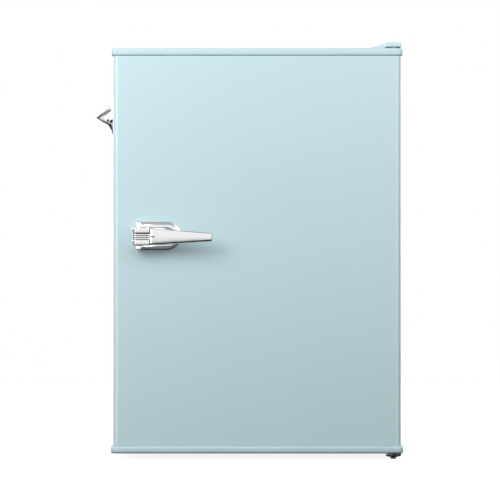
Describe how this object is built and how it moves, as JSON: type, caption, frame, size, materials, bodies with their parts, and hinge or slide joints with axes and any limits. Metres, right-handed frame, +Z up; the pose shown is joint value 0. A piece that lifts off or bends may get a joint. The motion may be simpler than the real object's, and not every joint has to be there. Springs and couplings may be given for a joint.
{
  "type": "mini fridge",
  "caption": "Retro compact refrigerator in pastel blue: right-hung door with a chrome latch lever, a wall bottle opener, shelves, door bins, a small freezer box and a rear cooling circuit.",
  "frame": {"origin": "middle of the footprint's bounding box, on the floor under the feet", "axes": "+Z up, the door faces -Y, +X towards the door's hinges"},
  "size_m": [0.5098, 0.536, 0.6865],
  "materials": {
    "pastel_paint": "gloss",
    "pastel_plastic": "gloss",
    "chrome": "polished",
    "liner_plastic": "satin",
    "white_plastic": "satin",
    "clear_plastic": "clear",
    "shelf_glass": "clear",
    "freezer_aluminium": "satin",
    "black_paint": "satin",
    "black_plastic": "matte",
    "galvanised_steel": "spangled",
    "copper_pipe": "satin",
    "rubber": "matte",
    "gasket_rubber": "matte",
    "foam": "matte"
  },
  "bodies": {
    "cabinet": {"cabinet_shell": "pastel_paint", "back_panel": "galvanised_steel", "base_panel": "galvanised_steel", "compressor_bay_panel": "galvanised_steel", "compressor_base_plate": "galvanised_steel", "inner_liner": "liner_plastic", "cabinet_foam": "foam", "compressor": "black_paint", "compressor_grommet_1": "rubber", "compressor_grommet_2": "rubber", "compressor_grommet_3": "rubber", "compressor_grommet_4": "rubber", "relay_cover": "black_plastic", "discharge_pipe": "copper_pipe", "suction_pipe": "copper_pipe", "filter_drier": "copper_pipe", "condenser_coil": "black_paint", "condenser_bracket_left": "black_plastic", "condenser_bracket_right": "black_plastic", "evaporation_pan": "white_plastic", "drain_tube": "white_plastic", "cord_gland": "black_plastic", "top_hinge_bracket": "galvanised_steel", "top_hinge_cover": "pastel_plastic", "top_hinge_screw_1": "galvanised_steel", "top_hinge_screw_2": "galvanised_steel", "bottom_hinge_bracket": "black_paint", "bottom_hinge_screw_1": "galvanised_steel", "bottom_hinge_screw_2": "galvanised_steel", "rear_foot_left": "black_plastic", "rear_foot_right": "black_plastic", "thermostat_housing": "white_plastic", "evaporator_box": "freezer_aluminium", "freezer_frame": "white_plastic", "bottle_opener": "chrome", "opener_screw_1": "chrome", "opener_screw_2": "chrome"},
    "door": {"door_skin": "pastel_paint", "door_top_cap": "pastel_plastic", "door_bottom_cap": "pastel_plastic", "door_foam": "foam", "door_liner": "liner_plastic", "door_gasket": "gasket_rubber", "lower_hinge_bush": "white_plastic", "handle_base": "chrome", "handle_pin": "chrome", "handle_spring": "galvanised_steel"},
    "lever": {"handle_lever": "chrome"},
    "bin_lower": {"door_bin_lower": "clear_plastic"},
    "bin_middle": {"door_bin_middle": "clear_plastic"},
    "bin_upper": {"door_bin_upper": "clear_plastic"},
    "lower_shelf": {"shelf_lower_glass": "shelf_glass", "shelf_lower_trim": "white_plastic"},
    "upper_shelf": {"shelf_upper_glass": "shelf_glass", "shelf_upper_trim": "white_plastic"},
    "tray": {"drip_tray": "clear_plastic"},
    "flap": {"freezer_flap": "white_plastic"},
    "knob": {"thermostat_knob": "white_plastic"},
    "left_foot": {"front_foot_left": "black_plastic"},
    "right_foot": {"front_foot_right": "black_plastic"}
  },
  "joints": [
    {"name": "door_swing", "type": "hinge", "parent": "cabinet", "child": "door", "pos_m": [0.23888, -0.212, 0.34], "axis": [0, 0, 1], "range_deg": [0, 120]},
    {"name": "lever_pull", "type": "hinge", "parent": "door", "child": "lever", "pos_m": [-0.17792, -0.251, 0.366], "axis": [0, 0, -1], "range_deg": [0, 25], "stiffness_Nm_per_rad": 1.5, "springref_deg": -11.46},
    {"name": "bin_lower_lift", "type": "slide", "parent": "door", "child": "bin_lower", "axis": [0, 0, 1], "range_m": [0, 0.018]},
    {"name": "bin_middle_lift", "type": "slide", "parent": "door", "child": "bin_middle", "axis": [0, 0, 1], "range_m": [0, 0.018]},
    {"name": "bin_upper_lift", "type": "slide", "parent": "door", "child": "bin_upper", "axis": [0, 0, 1], "range_m": [0, 0.018]},
    {"name": "lower_shelf_slide", "type": "slide", "parent": "cabinet", "child": "lower_shelf", "axis": [0, -1, 0], "range_m": [0, 0.08]},
    {"name": "upper_shelf_slide", "type": "slide", "parent": "cabinet", "child": "upper_shelf", "axis": [0, -1, 0], "range_m": [0, 0.08]},
    {"name": "drip_tray_slide", "type": "slide", "parent": "cabinet", "child": "tray", "axis": [0, -1, 0], "range_m": [0, 0.09]},
    {"name": "freezer_flap_swing", "type": "hinge", "parent": "cabinet", "child": "flap", "pos_m": [-0.03212, -0.061, 0.62], "axis": [-1, 0, 0], "range_deg": [0, 85]},
    {"name": "thermostat_turn", "type": "hinge", "parent": "cabinet", "child": "knob", "pos_m": [0.16688, -0.052, 0.596], "axis": [0, -1, 0], "range_deg": [-135, 135]},
    {"name": "left_foot_turn", "type": "hinge", "parent": "cabinet", "child": "left_foot", "pos_m": [-0.19012, -0.077, 0.02], "axis": [0, 0, 1], "continuous": true},
    {"name": "right_foot_turn", "type": "hinge", "parent": "cabinet", "child": "right_foot", "pos_m": [0.23888, -0.212, 0.006], "axis": [0, 0, 1], "continuous": true}
  ]
}
